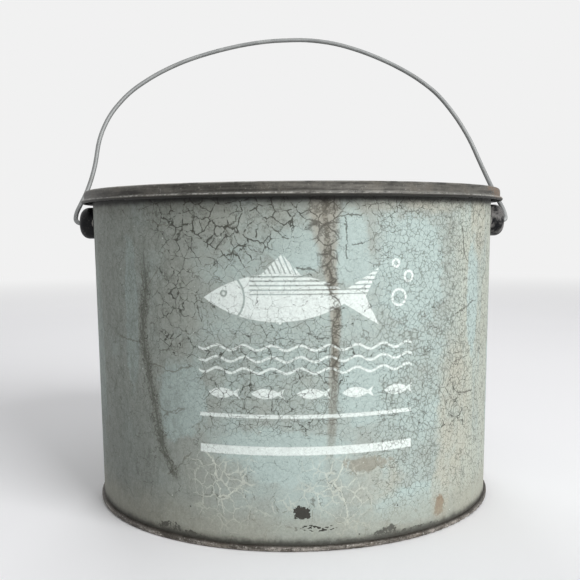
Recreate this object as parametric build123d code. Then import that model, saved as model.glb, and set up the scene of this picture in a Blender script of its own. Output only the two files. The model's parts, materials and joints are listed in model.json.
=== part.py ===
from build123d import *
import math
import os

# A round floating minnow bucket in millimetres: an outer pail with a wire bail, and inside it a
# perforated bucket with a sealed float, a sprung lid and its own folding handle.
# +Z is up, the table is Z = 0, the front faces -Y, and the bucket's axis is the Z axis.

# Sheet metal
SHEET = 0.8
SEAT_GAP = 0.3
SOLDER_GAP = 0.05

# Outer pail
BODY_TOP_R = 127.4
BODY_TAPER = 3.2
TAPER_BOTTOM_Z = 4.0
SHOULDER_BELOW_CURL = 7.75
SHOULDER_R = 60.0
HEM_STANDS_OUT = 1.8
HEM_HEIGHT = 3.2
HEM_BEND_R = 0.8
SEAM_GAP = 0.5
SEAM_PLAY = 0.1
PANEL_RISE = 4.0
RIM_WIRE_R = 1.45
RIM_WIRE_FIT = 0.3
CURL_SWEEP = 290.0
SIDE_SEAM_WIDTH = 6.0
SIDE_SEAM_RISE = 0.7
SIDE_SEAM_MARGIN = 0.6

# Cover of the inner bucket
COVER_TOP_Z = 193.4
SKIRT_GAP = 0.4
COVER_EDGE_BEND_R = 1.8
LIP_STANDS_OUT = 1.6
LIP_ROLL_R = 1.15
LIP_BELOW_TOP = 6.7
RECESS_AROUND_BASKET = 1.4
RECESS_DEPTH = 5.2
RECESS_BEND_R = 1.4

# Perforated basket and float
BASKET_INSIDE_BODY = 6.2
BASKET_FLANGE = 5.0
BASKET_BEND_R = 1.2
BASKET_LIFT_OFF_PANEL = 7.0
BASKET_HOLE_R = 2.5
BASKET_HOLES_AROUND = 28
BASKET_HOLE_ROWS = 5
FIRST_ROW_ABOVE_BOTTOM = 18.0
LAST_ROW_BELOW_FLOAT = 31.6
BOTTOM_INSET = 8.0
BOTTOM_FLANGE = 7.0
BOTTOM_HOLE_RINGS = 4
LAST_RING_FROM_WALL = 21.2
HOLES_PER_RING_STEP = 6
FLOAT_DEPTH = 38.0
FLOAT_FLANGE = 7.0

# Hatch and lid
NECK_R = 42.0
NECK_RISE = 7.1
NECK_BELOW_FLOAT = 2.0
NECK_ROLL_R = 1.1
LID_RIM_GAP = 1.0
LID_RIM_DEPTH = 3.5
LID_BEND_R = 1.0
LID_TAB_WIDTH = 18.0
LID_TAB_REACH = 4.5
LID_TAB_CORNER_R = 3.5
LID_RIB_R = 21.0
LID_RIB_SECTION_R = 0.7
VENT_R = 1.6
INNER_VENT_RING_R = 11.0
INNER_VENTS = 6
OUTER_VENTS_INSIDE_NECK = 9.0
OUTER_VENTS = 18

# Lid hinge
PIN_R = 1.2
PIN_FIT = 0.06
PIN_HEAD_R = 2.0
PIN_HEAD_LENGTH = 1.0
KNUCKLE_WALL = 0.8
LID_TO_KNUCKLE = 2.14
HINGE_HALF_WIDTH = 22.0
FIXED_KNUCKLE_LENGTH = 7.0
MOVING_KNUCKLE_LENGTH = 6.4
KNUCKLE_GAP = 0.3
LEAF_REACH = 26.0
LEAF_CROSSBAR = 12.0
BRACKET_FOOT = 10.0
HINGE_RIVET_R = 1.3
HINGE_RIVET_SPREAD = 11.0

# Torsion spring on the hinge pin
SPRING_WIRE_R = 0.45
SPRING_PLAY = 0.6
SPRING_QUARTER_TURNS = 21
SPRING_PITCH = 1.6
SPRING_LEG = 11.0

# Folding handle on the cover
HANDLE_WIRE_R = 1.3
HANDLE_SIDE_MARGIN = 35.4
HANDLE_FRONT_MARGIN = 39.4
HANDLE_SHOULDER_RUN = 40.0
HANDLE_SHOULDER_DROP = 42.0
HANDLE_CORNER_R = 30.0
HANDLE_END_BEND_R = 3.6
HANDLE_END_OVERHANG = 1.5
SADDLE_LENGTH = 5.0
SADDLE_FOOT = 7.0
SADDLE_FIT = 0.1
SADDLE_BEND_R = 0.6
SADDLE_RIVET_R = 1.0

# Bail ears on the pail
PIVOT_BELOW_TOP = 19.4
EAR_STANDS_OUT = 11.2
EAR_SHEET = 1.0
EAR_CUP_R = 10.2
EAR_CORNER_R = 5.7
EAR_FLANGE_MARGIN = 0.6
EAR_HOLE_FIT = 0.1
EAR_RIVET_R = 1.4
EAR_RIVET_FROM_CUP = 4.0
EAR_RIVET_MARGIN = 4.3

# Bail wire
BAIL_WIRE_R = 1.45
BAIL_LIP_CLEARANCE = 2.4
BAIL_HEAD_R = 2.5
BAIL_HEAD_LENGTH = 1.2
LEFT_HOOK_STANDOFF = 4.2
LEFT_HOOK_BEND_R = 4.0
RIGHT_HOOK_STANDOFF = 2.4
RIGHT_HOOK_BEND_R = 2.3
HOOK_RISE = 7.6
BEND_SHARE_OF_RUN = 0.45
# Each bend of the bail: its angle above the pivots in degrees, how far it stands out beyond
# the smallest arch that clears the lip, and how far it leans back from upright in degrees.
LEFT_LEG = [
    (10.5, 0.0, 28.0),
    (17.5, 0.4, 25.0),
    (25.7, 6.4, 22.4),
    (33.0, 9.6, 22.0),
    (41.2, 10.0, 22.0),
    (50.0, 7.4, 22.0),
    (58.8, 4.5, 22.0),
    (67.5, 1.8, 22.0),
    (76.0, 0.5, 22.0),
    (84.0, 0.2, 22.0),
]
RIGHT_LEG = [
    (12.0, 0.0, 40.0),
    (19.5, 0.0, 36.5),
    (28.0, 0.9, 30.0),
    (35.9, 2.0, 27.0),
    (44.0, 3.2, 25.0),
    (52.0, 2.4, 24.0),
    (60.0, 1.5, 23.4),
    (68.5, 1.2, 22.9),
    (77.0, 1.5, 22.5),
    (85.5, 1.0, 22.2),
]

# Rivets
RIVET_HEAD_SPREAD = 1.5
RIVET_HEAD_RISE = 0.8
RIVET_FIT = 0.05
RIVET_SEAT = 0.1

# Levels and radii that follow from the sizes above
DECK_TOP_Z = COVER_TOP_Z - RECESS_DEPTH
DECK_UNDER_Z = DECK_TOP_Z - SHEET
BODY_BASE_R = BODY_TOP_R - BODY_TAPER
HEM_R = BODY_BASE_R + HEM_STANDS_OUT
CURL_R = RIM_WIRE_R + RIM_WIRE_FIT + SHEET
CURL_Z = COVER_TOP_Z - SHEET - SEAT_GAP - CURL_R
CURL_CENTRE_R = BODY_TOP_R - SHEET + CURL_R
TAPER_TOP_Z = CURL_Z - SHOULDER_BELOW_CURL
PANEL_TOP_Z = PANEL_RISE + SHEET
SKIRT_R = CURL_CENTRE_R + CURL_R + SKIRT_GAP + SHEET
LIP_R = SKIRT_R + LIP_STANDS_OUT
LIP_Z = COVER_TOP_Z - LIP_BELOW_TOP
BASKET_R = BODY_BASE_R - BASKET_INSIDE_BODY
BASKET_INNER_R = BASKET_R - SHEET
BASKET_BOTTOM_Z = PANEL_TOP_Z + BASKET_LIFT_OFF_PANEL
RECESS_R = BASKET_R + RECESS_AROUND_BASKET
FLOAT_BOTTOM_Z = DECK_UNDER_Z - FLOAT_DEPTH
FIRST_ROW_Z = BASKET_BOTTOM_Z + FIRST_ROW_ABOVE_BOTTOM
LAST_ROW_Z = FLOAT_BOTTOM_Z - LAST_ROW_BELOW_FLOAT
BASKET_ROW_PITCH = (LAST_ROW_Z - FIRST_ROW_Z) / (BASKET_HOLE_ROWS - 1)
BOTTOM_RING_PITCH = (BASKET_INNER_R - LAST_RING_FROM_WALL) / BOTTOM_HOLE_RINGS
NECK_OUTER_R = NECK_R + SHEET
NECK_TOP_Z = DECK_TOP_Z + NECK_RISE
LID_UNDER_Z = NECK_TOP_Z + SEAT_GAP
LID_TOP_Z = LID_UNDER_Z + SHEET
LID_R = NECK_R + 2 * NECK_ROLL_R + LID_RIM_GAP + SHEET
OUTER_VENT_RING_R = NECK_R - OUTER_VENTS_INSIDE_NECK
KNUCKLE_R = PIN_R + PIN_FIT + KNUCKLE_WALL
SPRING_COIL_R = PIN_R + SPRING_PLAY + SPRING_WIRE_R
HINGE_Y = LID_R + LID_TO_KNUCKLE + KNUCKLE_R
HINGE_Z = LID_TOP_Z + SHEET - KNUCKLE_R
FIXED_KNUCKLE_X = HINGE_HALF_WIDTH - FIXED_KNUCKLE_LENGTH / 2
LEAF_HALF_WIDTH = HINGE_HALF_WIDTH - FIXED_KNUCKLE_LENGTH - KNUCKLE_GAP
MOVING_KNUCKLE_X = LEAF_HALF_WIDTH - MOVING_KNUCKLE_LENGTH / 2
LEAF_FRONT_Y = HINGE_Y - LEAF_REACH
LEAF_RIVET_Y = LEAF_FRONT_Y + LEAF_CROSSBAR / 2
BRACKET_BACK_Y = HINGE_Y + KNUCKLE_R + BRACKET_FOOT
BRACKET_RIVET_Y = BRACKET_BACK_Y - BRACKET_FOOT / 2
HANDLE_Z = DECK_TOP_Z + SEAT_GAP + HANDLE_WIRE_R
HANDLE_HALF_WIDTH = RECESS_R - HANDLE_SIDE_MARGIN
HANDLE_REACH = RECESS_R - HANDLE_FRONT_MARGIN
SADDLE_X = HANDLE_HALF_WIDTH - HANDLE_END_BEND_R - SEAT_GAP - SADDLE_LENGTH / 2
SADDLE_HALF = HANDLE_WIRE_R + SADDLE_FIT + SHEET / 2
SADDLE_RIVET_Y = SADDLE_HALF + SADDLE_FOOT / 2 + SHEET / 2
PIVOT_Z = COVER_TOP_Z - PIVOT_BELOW_TOP
EAR_FACE_X = BODY_TOP_R + EAR_STANDS_OUT
EAR_RIVET_FROM_CENTRE = EAR_CUP_R + EAR_RIVET_FROM_CUP
EAR_FLANGE_LENGTH = 2 * (EAR_RIVET_FROM_CENTRE + EAR_RIVET_MARGIN)
EAR_FLANGE_HEIGHT = 2 * (EAR_CUP_R + EAR_FLANGE_MARGIN)
BAIL_SAFE_R = math.hypot(LIP_R, LIP_Z - PIVOT_Z) + BAIL_WIRE_R + BAIL_LIP_CLEARANCE

UP = (Align.CENTER, Align.CENTER, Align.MIN)
DOWN = (Align.CENTER, Align.CENTER, Align.MAX)


def body_radius(z):
    """Outer radius of the tapered pail wall at a height."""
    share = (z - TAPER_BOTTOM_Z) / (TAPER_TOP_Z - TAPER_BOTTOM_Z)
    return BODY_BASE_R + (BODY_TOP_R - BODY_BASE_R) * share


def turned(profile):
    """Revolve a face, drawn with radius along X and height along Y, about the bucket's axis."""
    return revolve(Plane.XZ * profile, Axis.Z)


def turned_sheet(points, radii):
    """A sheet ring whose middle line runs through points, with a bend at each inner point."""
    return turned(trace(FilletPolyline(*points, radius=radii), SHEET))


def bead(centre_r, centre_z, section_r):
    """A solid round bead that runs all the way round the bucket's axis."""
    return Pos(0, 0, centre_z) * Torus(centre_r, section_r)


def rod_x(radius, start_x, end_x, y, z):
    """A round rod parallel to the X axis."""
    rod = Rot(0, 90, 0) * Cylinder(radius, end_x - start_x)
    return Pos((start_x + end_x) / 2, y, z) * rod


def block(low, high):
    """A box between its lowest and highest corners."""
    size = [top - bottom for bottom, top in zip(low, high)]
    middle = [(top + bottom) / 2 for bottom, top in zip(low, high)]
    return Pos(*middle) * Box(*size)


def both_sides(shape):
    """A shape and its mirror image across the middle of the bucket, left and right."""
    return shape + mirror(shape, Plane.YZ)


def rivet(shank_r, grip):
    """A rivet along Z: its domed head stands on Z = 0 and its shank goes down through the grip."""
    head_r = shank_r + RIVET_HEAD_SPREAD
    dome_r = (head_r**2 + RIVET_HEAD_RISE**2) / (2 * RIVET_HEAD_RISE)
    dome = Pos(0, 0, RIVET_HEAD_RISE - dome_r) * Sphere(dome_r)
    head = dome & Cylinder(head_r, RIVET_HEAD_RISE, align=UP)
    shank = Cylinder(shank_r, grip, align=DOWN)
    tail = Pos(0, 0, -grip) * Cylinder(head_r, RIVET_HEAD_RISE, align=DOWN)
    return head + shank + tail


def rivets_down(shank_r, places, top_z, bottom_z):
    """Upright rivets that hold what lies between two levels, one at each (x, y) place."""
    grip = top_z - bottom_z + 2 * RIVET_SEAT
    one = rivet(shank_r, grip)
    return [Pos(x, y, top_z + RIVET_SEAT) * one for x, y in places]


def rivet_holes(shank_r, places, top_z, bottom_z):
    """The holes for those rivets."""
    height = top_z - bottom_z
    hole = Cylinder(shank_r + RIVET_FIT, height + 2, align=UP)
    return [Pos(x, y, bottom_z - 1) * hole for x, y in places]


def bend_radius(before, corner, after):
    """The largest easy bend at a corner: its tangent points stay within each run's own half."""
    turn = math.radians((corner - before).get_angle(after - corner))
    shorter = min((corner - before).length, (after - corner).length)
    return BEND_SHARE_OF_RUN * shorter / math.tan(turn / 2)


def wire_along(path, wire_r):
    """A round wire swept along a path, starting square to it."""
    section = Plane(origin=path @ 0, z_dir=path % 0) * Circle(wire_r)
    return sweep(section, path=path)


# Outer pail


def make_pail_wall():
    """The tapered wall: an outward flange in the bottom seam and a curl round the rim wire."""
    base_mid_r = BODY_BASE_R - SHEET / 2
    top_mid_r = BODY_TOP_R - SHEET / 2
    flange_z = SHEET + SEAM_PLAY + SHEET / 2
    flange_end_r = HEM_R - SHEET - 2 * SEAM_PLAY
    wall = FilletPolyline(
        (flange_end_r, flange_z),
        (base_mid_r, flange_z),
        (top_mid_r, TAPER_TOP_Z),
        (top_mid_r, CURL_Z),
        radius=[SHEET / 2 + SEAM_PLAY, SHOULDER_R],
    )
    curl = CenterArc((CURL_CENTRE_R, CURL_Z), CURL_R - SHEET / 2, 180, -CURL_SWEEP)
    wall = turned(trace(wall + curl, SHEET))
    return wall + make_side_seam()


def make_side_seam():
    """The folded seam that closes the wall, standing out a little down the back."""
    bottom_z = HEM_HEIGHT + SIDE_SEAM_MARGIN
    top_z = CURL_Z - CURL_R - SIDE_SEAM_MARGIN
    corners = [
        (body_radius(bottom_z) - SHEET / 2, bottom_z),
        (body_radius(bottom_z) + SIDE_SEAM_RISE, bottom_z),
        (BODY_TOP_R + SIDE_SEAM_RISE, top_z),
        (BODY_TOP_R - SHEET / 2, top_z),
    ]
    strip = make_face(Polyline(*corners, close=True))
    width = math.degrees(SIDE_SEAM_WIDTH / BODY_TOP_R)
    return Rot(0, 0, 90 - width / 2) * revolve(Plane.XZ * strip, Axis.Z, width)


def make_pail_bottom():
    """The raised bottom panel, with the folded hem that the pail stands on."""
    panel_z = PANEL_RISE + SHEET / 2
    inner_r = BODY_BASE_R - SHEET - SEAM_GAP - SHEET / 2
    hem_mid_r = HEM_R - SHEET / 2
    hook_z = HEM_HEIGHT - SHEET / 2
    points = [
        (0, panel_z),
        (inner_r, panel_z),
        (inner_r, SHEET / 2),
        (hem_mid_r, SHEET / 2),
        (hem_mid_r, hook_z),
        (BODY_BASE_R + SOLDER_GAP, hook_z),
    ]
    return turned_sheet(points, [HEM_BEND_R, HEM_BEND_R, HEM_BEND_R, SHEET / 2 + SEAM_PLAY])


def ear_rivet_places():
    """The frames of the right ear's two rivets, each pointing straight out from the wall."""
    surface_r = body_radius(PIVOT_Z) + SOLDER_GAP + EAR_SHEET + RIVET_SEAT
    turn = math.degrees(math.asin(EAR_RIVET_FROM_CENTRE / surface_r))
    out = Pos(surface_r, 0, PIVOT_Z) * Rot(0, 90, 0)
    return [Rot(0, 0, side * turn) * out for side in (-1, 1)]


def ear_plug(radius, face_x, corner_r):
    """A round plug along X at the pivot's height, with a rounded outer edge."""
    plug = rod_x(radius, 0, face_x, 0, PIVOT_Z)
    return fillet(plug.edges().sort_by(Axis.X)[-1], corner_r)


def wall_ring(inner_gap, outer_gap):
    """A tapered ring beside the wall, between two distances out from it."""
    low_z = PIVOT_Z - EAR_FLANGE_HEIGHT
    high_z = PIVOT_Z + EAR_FLANGE_HEIGHT
    corners = [
        (body_radius(low_z) + inner_gap, low_z),
        (body_radius(low_z) + outer_gap, low_z),
        (body_radius(high_z) + outer_gap, high_z),
        (body_radius(high_z) + inner_gap, high_z),
    ]
    return turned(make_face(Polyline(*corners, close=True)))


def make_ear():
    """The right-hand bail ear: a pressed cup with a flange that hugs the wall."""
    wall_and_gap = wall_ring(-EAR_CUP_R, SOLDER_GAP)
    outline = Plane.YZ * SlotOverall(EAR_FLANGE_LENGTH, EAR_FLANGE_HEIGHT)
    flange = Pos(0, 0, PIVOT_Z) * extrude(outline, EAR_FACE_X)
    flange &= wall_ring(SOLDER_GAP, SOLDER_GAP + EAR_SHEET)
    outside = ear_plug(EAR_CUP_R, EAR_FACE_X, EAR_CORNER_R)
    outside -= block((0, -EAR_CUP_R, 0), (EAR_FACE_X - 2 * EAR_CUP_R, EAR_CUP_R, COVER_TOP_Z))
    ear = outside - wall_and_gap + flange
    ear -= ear_plug(EAR_CUP_R - EAR_SHEET, EAR_FACE_X - EAR_SHEET, EAR_CORNER_R - EAR_SHEET)
    ear -= rod_x(BAIL_WIRE_R + EAR_HOLE_FIT, 0, EAR_FACE_X + EAR_SHEET, 0, PIVOT_Z)
    hole = Cylinder(EAR_RIVET_R + RIVET_FIT, 4 * EAR_SHEET)
    return ear - [place * hole for place in ear_rivet_places()]


def make_ear_rivets():
    """Two rivets for each ear, through its flange and the pail wall."""
    grip = EAR_SHEET + SOLDER_GAP + SHEET + 2 * RIVET_SEAT
    right = [place * rivet(EAR_RIVET_R, grip) for place in ear_rivet_places()]
    return right + [mirror(one, Plane.YZ) for one in right]


def ear_rivet_wall_holes():
    """The rivets' holes in the pail wall."""
    hole = Cylinder(EAR_RIVET_R + RIVET_FIT, 6 * SHEET)
    right = [place * hole for place in ear_rivet_places()]
    return right + [mirror(one, Plane.YZ) for one in right]


# Bail


def bail_point(side, angle, stand_out, lean):
    """A bend of the bail, from its angle above the pivots and its lean back from upright."""
    reach = BAIL_SAFE_R + stand_out
    along = reach * math.sin(math.radians(angle))
    across = reach * math.cos(math.radians(angle))
    back = along * math.sin(math.radians(lean))
    up = along * math.cos(math.radians(lean))
    return Vector(side * across, back, PIVOT_Z + up)


def hook_points(side, stand_off, lean):
    """The wire's end in its ear, and the two bends that bring it out and up."""
    end_x = EAR_FACE_X - EAR_SHEET - SEAT_GAP - BAIL_HEAD_LENGTH
    outer_x = side * (EAR_FACE_X + stand_off)
    back = HOOK_RISE * math.sin(math.radians(lean))
    up = HOOK_RISE * math.cos(math.radians(lean))
    return [
        Vector(side * end_x, 0, PIVOT_Z),
        Vector(outer_x, 0, PIVOT_Z),
        Vector(outer_x, back, PIVOT_Z + up),
    ]


def make_bail_wire():
    """The carrying wire: an end hooked into each ear and one uneven arch between them."""
    left = hook_points(-1, LEFT_HOOK_STANDOFF, LEFT_LEG[0][2])
    left += [bail_point(-1, *bend) for bend in LEFT_LEG]
    right = hook_points(1, RIGHT_HOOK_STANDOFF, RIGHT_LEG[0][2])
    right += [bail_point(1, *bend) for bend in RIGHT_LEG]
    points = left + right[::-1]
    radii = [bend_radius(*three) for three in zip(points, points[1:], points[2:])]
    radii[0] = LEFT_HOOK_BEND_R
    radii[-1] = RIGHT_HOOK_BEND_R
    path = FilletPolyline(*points, radius=radii)
    head_x = EAR_FACE_X - EAR_SHEET - SEAT_GAP
    head = rod_x(BAIL_HEAD_R, head_x - BAIL_HEAD_LENGTH, head_x, 0, PIVOT_Z)
    wire = wire_along(path, BAIL_WIRE_R)
    print("bail wire length", round(path.length, 1), "volume", round(wire.volume, 1))
    print("section times length", round(math.pi * BAIL_WIRE_R**2 * path.length, 1))
    return wire + both_sides(head)


# Inner bucket


def make_cover_deck():
    """The cover: a rolled lip, a skirt over the pail's rim, a flat land and a sunken deck."""
    skirt_mid_r = SKIRT_R - SHEET / 2
    land_z = COVER_TOP_Z - SHEET / 2
    recess_mid_r = RECESS_R - SHEET / 2
    deck_z = DECK_TOP_Z - SHEET / 2
    points = [
        (skirt_mid_r, LIP_Z),
        (skirt_mid_r, land_z),
        (recess_mid_r, land_z),
        (recess_mid_r, deck_z),
        (NECK_OUTER_R + SOLDER_GAP, deck_z),
    ]
    deck = turned_sheet(points, [COVER_EDGE_BEND_R, RECESS_BEND_R, RECESS_BEND_R])
    deck += bead(LIP_R - LIP_ROLL_R, LIP_Z, LIP_ROLL_R)
    deck -= rivet_holes(HINGE_RIVET_R, bracket_rivet_places(), DECK_TOP_Z, DECK_UNDER_Z)
    deck -= rivet_holes(SADDLE_RIVET_R, saddle_rivet_places(), DECK_TOP_Z, DECK_UNDER_Z)
    return deck


def make_basket_wall():
    """The perforated wall, hung from the deck by a flange turned in at its top."""
    mid_r = BASKET_R - SHEET / 2
    flange_z = DECK_UNDER_Z - SHEET / 2
    points = [(mid_r - BASKET_FLANGE, flange_z), (mid_r, flange_z), (mid_r, BASKET_BOTTOM_Z)]
    wall = turned_sheet(points, [BASKET_BEND_R])
    hole = Rot(0, 90, 0) * Cylinder(BASKET_HOLE_R, 4 * SHEET)
    step = 360 / BASKET_HOLES_AROUND
    holes = []
    for row in range(BASKET_HOLE_ROWS):
        row_z = FIRST_ROW_Z + row * BASKET_ROW_PITCH
        for column in range(BASKET_HOLES_AROUND):
            turn = (column + row % 2 / 2) * step
            holes.append(Rot(0, 0, turn) * Pos(mid_r, 0, row_z) * hole)
    return wall - holes


def make_basket_bottom():
    """The basket's perforated bottom, with a flange turned down inside the wall."""
    mid_r = BASKET_INNER_R - SOLDER_GAP - SHEET / 2
    bottom_z = BASKET_BOTTOM_Z + BOTTOM_INSET
    points = [(0, bottom_z), (mid_r, bottom_z), (mid_r, bottom_z - BOTTOM_FLANGE)]
    bottom = turned_sheet(points, [BASKET_BEND_R])
    hole = Pos(0, 0, bottom_z) * Cylinder(BASKET_HOLE_R, 4 * SHEET)
    holes = [hole]
    for ring in range(1, BOTTOM_HOLE_RINGS + 1):
        count = ring * HOLES_PER_RING_STEP
        for place in PolarLocations(ring * BOTTOM_RING_PITCH, count):
            holes.append(place * hole)
    return bottom - holes


def make_float_pan():
    """The ring-shaped pan that seals the float chamber under the deck."""
    outer_r = BASKET_INNER_R - SOLDER_GAP - SHEET / 2
    inner_r = NECK_OUTER_R + SOLDER_GAP + SHEET / 2
    pan_z = FLOAT_BOTTOM_Z + SHEET / 2
    flange_z = FLOAT_BOTTOM_Z + FLOAT_FLANGE
    points = [(outer_r, flange_z), (outer_r, pan_z), (inner_r, pan_z), (inner_r, flange_z)]
    return turned_sheet(points, [BASKET_BEND_R, BASKET_BEND_R])


def make_hatch_neck():
    """The throat through the float, ending in a rolled edge that the lid covers."""
    bottom_z = FLOAT_BOTTOM_Z - NECK_BELOW_FLOAT
    roll_z = NECK_TOP_Z - NECK_ROLL_R
    height = roll_z - bottom_z
    tube = Cylinder(NECK_OUTER_R, height, align=UP)
    tube = Pos(0, 0, bottom_z) * (tube - Cylinder(NECK_R, height, align=UP))
    return tube + bead(NECK_R + NECK_ROLL_R, roll_z, NECK_ROLL_R)


# Lid and its hinge


def leaf_rivet_places():
    return [(side * HINGE_RIVET_SPREAD, LEAF_RIVET_Y) for side in (-1, 1)]


def bracket_rivet_places():
    return [(side * HINGE_RIVET_SPREAD, BRACKET_RIVET_Y) for side in (-1, 1)]


def saddle_rivet_places():
    return [(side * SADDLE_X, end * SADDLE_RIVET_Y) for side in (-1, 1) for end in (-1, 1)]


def under_leaf(x, y):
    """Whether a vent here would come out under the hinge leaf or beside its edge."""
    margin = VENT_R + SHEET
    return abs(x) < LEAF_HALF_WIDTH + margin and y > LEAF_FRONT_Y - margin


def make_lid_plate():
    """The round lid: a turned-down rim, a pressed ring, vents and a thumb tab in front."""
    mid_z = LID_TOP_Z - SHEET / 2
    rim_mid_r = LID_R - SHEET / 2
    points = [(0, mid_z), (rim_mid_r, mid_z), (rim_mid_r, LID_TOP_Z - LID_RIM_DEPTH)]
    plate = turned_sheet(points, [LID_BEND_R])
    tab_back_y = -(LID_R - 2 * LID_BEND_R)
    tab_front_y = -(LID_R + LID_TAB_REACH)
    tab = Rectangle(LID_TAB_WIDTH, tab_back_y - tab_front_y)
    front = tab.vertices().sort_by(Axis.Y)[:2]
    tab = extrude(fillet(front, LID_TAB_CORNER_R), SHEET)
    plate += Pos(0, (tab_back_y + tab_front_y) / 2, LID_UNDER_Z) * tab
    plate += bead(LID_RIB_R, LID_TOP_Z, LID_RIB_SECTION_R)
    places = [(0, 0)]
    for ring_r, count in ((INNER_VENT_RING_R, INNER_VENTS), (OUTER_VENT_RING_R, OUTER_VENTS)):
        for number in range(count):
            turn = math.radians((number + 0.5) * 360 / count)
            places.append((ring_r * math.cos(turn), ring_r * math.sin(turn)))
    vent = Cylinder(VENT_R, 4 * SHEET)
    plate -= [Pos(x, y, mid_z) * vent for x, y in places if not under_leaf(x, y)]
    return plate - rivet_holes(HINGE_RIVET_R, leaf_rivet_places(), LID_TOP_Z, LID_UNDER_Z)


def knuckle(middle_x, length):
    """A hinge knuckle round the pin."""
    start_x = middle_x - length / 2
    end_x = middle_x + length / 2
    barrel = rod_x(KNUCKLE_R, start_x, end_x, HINGE_Y, HINGE_Z)
    return barrel, rod_x(PIN_R + PIN_FIT, start_x, end_x, HINGE_Y, HINGE_Z)


def make_lid_hinge_leaf():
    """The moving leaf: a crossbar on the lid and two arms back to the pin."""
    top_z = LID_TOP_Z + SHEET
    arm_inner_x = LEAF_HALF_WIDTH - MOVING_KNUCKLE_LENGTH
    bar_back_y = LEAF_FRONT_Y + LEAF_CROSSBAR
    bar = block(
        (-LEAF_HALF_WIDTH, LEAF_FRONT_Y, LID_TOP_Z), (LEAF_HALF_WIDTH, bar_back_y, top_z)
    )
    arm = block((arm_inner_x, LEAF_FRONT_Y, LID_TOP_Z), (LEAF_HALF_WIDTH, HINGE_Y, top_z))
    barrel, bore = knuckle(MOVING_KNUCKLE_X, MOVING_KNUCKLE_LENGTH)
    leaf = bar + both_sides(arm + barrel) - both_sides(bore)
    return leaf - rivet_holes(HINGE_RIVET_R, leaf_rivet_places(), top_z, LID_TOP_Z)


def make_hinge_bracket():
    """The fixed leaf: a foot on the deck and two webs up to its knuckles."""
    web_back_y = HINGE_Y + KNUCKLE_R
    web_front_y = web_back_y - SHEET
    foot_top_z = DECK_TOP_Z + SHEET
    foot = block(
        (-HINGE_HALF_WIDTH, web_front_y, DECK_TOP_Z),
        (HINGE_HALF_WIDTH, BRACKET_BACK_Y, foot_top_z),
    )
    web = block(
        (HINGE_HALF_WIDTH - FIXED_KNUCKLE_LENGTH, web_front_y, DECK_TOP_Z),
        (HINGE_HALF_WIDTH, web_back_y, HINGE_Z),
    )
    barrel, bore = knuckle(FIXED_KNUCKLE_X, FIXED_KNUCKLE_LENGTH)
    bracket = foot + both_sides(web + barrel) - both_sides(bore)
    return bracket - rivet_holes(HINGE_RIVET_R, bracket_rivet_places(), foot_top_z, DECK_TOP_Z)


def make_hinge_pin():
    """The pin, with a head beyond each end knuckle."""
    end_x = HINGE_HALF_WIDTH + KNUCKLE_GAP
    pin = rod_x(PIN_R, -end_x, end_x, HINGE_Y, HINGE_Z)
    head = rod_x(PIN_HEAD_R, end_x, end_x + PIN_HEAD_LENGTH, HINGE_Y, HINGE_Z)
    return pin + both_sides(head)


def coil_point(quarter):
    """The coil's middle line after some quarter turns, and its heading there."""
    turn = quarter * math.pi / 2
    rise = SPRING_PITCH * (quarter - SPRING_QUARTER_TURNS / 2) / 4
    place = Vector(
        -rise, HINGE_Y + SPRING_COIL_R * math.cos(turn), HINGE_Z + SPRING_COIL_R * math.sin(turn)
    )
    around = SPRING_COIL_R * math.pi / 2
    heading = Vector(-SPRING_PITCH / 4, -around * math.sin(turn), around * math.cos(turn))
    return place, heading.normalized()


def two_arcs(start, start_heading, end, end_heading):
    """Two tangent arcs between two points, keeping the heading at each."""
    across = end - start
    both = start_heading + end_heading
    a = 2 * start_heading.dot(end_heading) - 2
    b = -2 * across.dot(both)
    c = across.dot(across)
    reach = (-b - math.sqrt(b * b - 4 * a * c)) / (2 * a)
    before = start + start_heading * reach
    after = end - end_heading * reach
    joint = (before + after) * 0.5
    first = TangentArc(start, joint, tangent=start_heading)
    second = TangentArc(joint, end, tangent=after - before)
    return [first, second]


def make_lid_spring():
    """The torsion spring: one leg down to the bracket's foot, a coil, one leg over the lid."""
    start, start_heading = coil_point(0)
    end, end_heading = coil_point(SPRING_QUARTER_TURNS)
    foot_z = DECK_TOP_Z + SHEET + SEAT_GAP
    down = (start.Z - foot_z) / start_heading.Z
    edges = [Line(start - start_heading * down, start)]
    for quarter in range(SPRING_QUARTER_TURNS):
        here = coil_point(quarter)
        there = coil_point(quarter + 1)
        edges += two_arcs(*here, *there)
    edges.append(Line(end, end + end_heading * SPRING_LEG))
    path = Wire([edge.edges()[0] for edge in edges])
    print("spring least gap", round(least_gap(path), 2))
    return wire_along(path, SPRING_WIRE_R)


def least_gap(path):
    """The least gap between the spring's own turns, measured on points along its middle line."""
    count = 40 * SPRING_QUARTER_TURNS
    points = [path @ (number / count) for number in range(count + 1)]
    apart = int(SPRING_COIL_R * math.pi / (path.length / count))
    gaps = [
        (points[i] - points[j]).length
        for i in range(count + 1)
        for j in range(i + apart, count + 1)
    ]
    return min(gaps) - 2 * SPRING_WIRE_R


# Folding handle


def make_handle_wire():
    """The inner bucket's handle, folded flat on the deck towards the front."""
    end_x = SADDLE_X - SADDLE_LENGTH / 2 - HANDLE_END_OVERHANG
    half = [
        (end_x, 0),
        (HANDLE_HALF_WIDTH, 0),
        (HANDLE_HALF_WIDTH, HANDLE_SHOULDER_RUN - HANDLE_REACH),
        (HANDLE_HALF_WIDTH - HANDLE_SHOULDER_DROP, -HANDLE_REACH),
    ]
    points = [(-x, y) for x, y in half] + half[::-1]
    radii = [HANDLE_END_BEND_R, HANDLE_CORNER_R, HANDLE_CORNER_R]
    path = FilletPolyline(*points, radius=radii + radii[::-1])
    return Pos(0, 0, HANDLE_Z) * wire_along(path, HANDLE_WIRE_R)


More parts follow.
